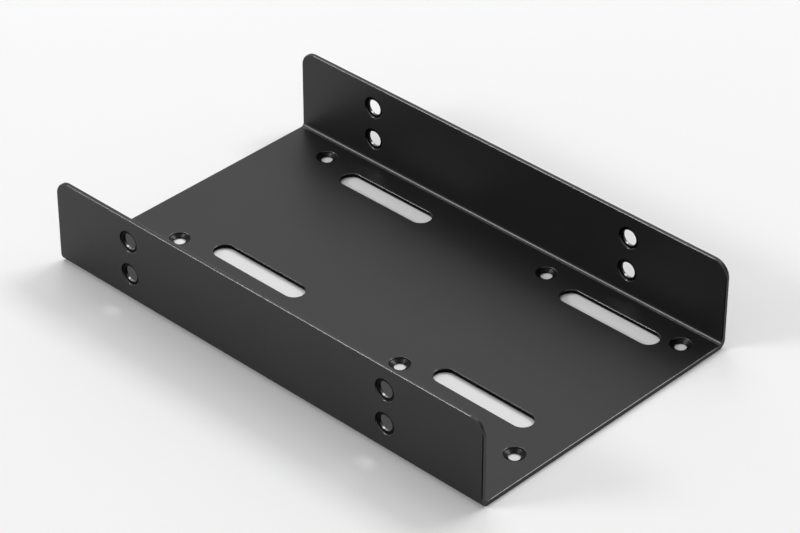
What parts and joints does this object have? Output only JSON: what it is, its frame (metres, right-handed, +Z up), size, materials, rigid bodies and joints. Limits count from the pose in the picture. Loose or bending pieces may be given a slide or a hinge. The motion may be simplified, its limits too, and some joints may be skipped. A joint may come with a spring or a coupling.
{
  "type": "drive bay adapter bracket",
  "caption": "Shallow folded-steel U bracket that carries a small drive on its slotted base and screws into a larger bay by stepped holes in its two side flanges.",
  "frame": {"origin": "underside of the base, at the middle of the bracket's outline", "axes": "+X along the bracket towards the end with the widest pair of screw holes, +Y across it, +Z up out of the base along the flanges"},
  "size_m": [0.168, 0.1016, 0.0286],
  "materials": {
    "coated_steel": "satin black powder coat"
  },
  "bodies": {
    "root": {"bracket": "coated_steel"}
  },
  "joints": []
}
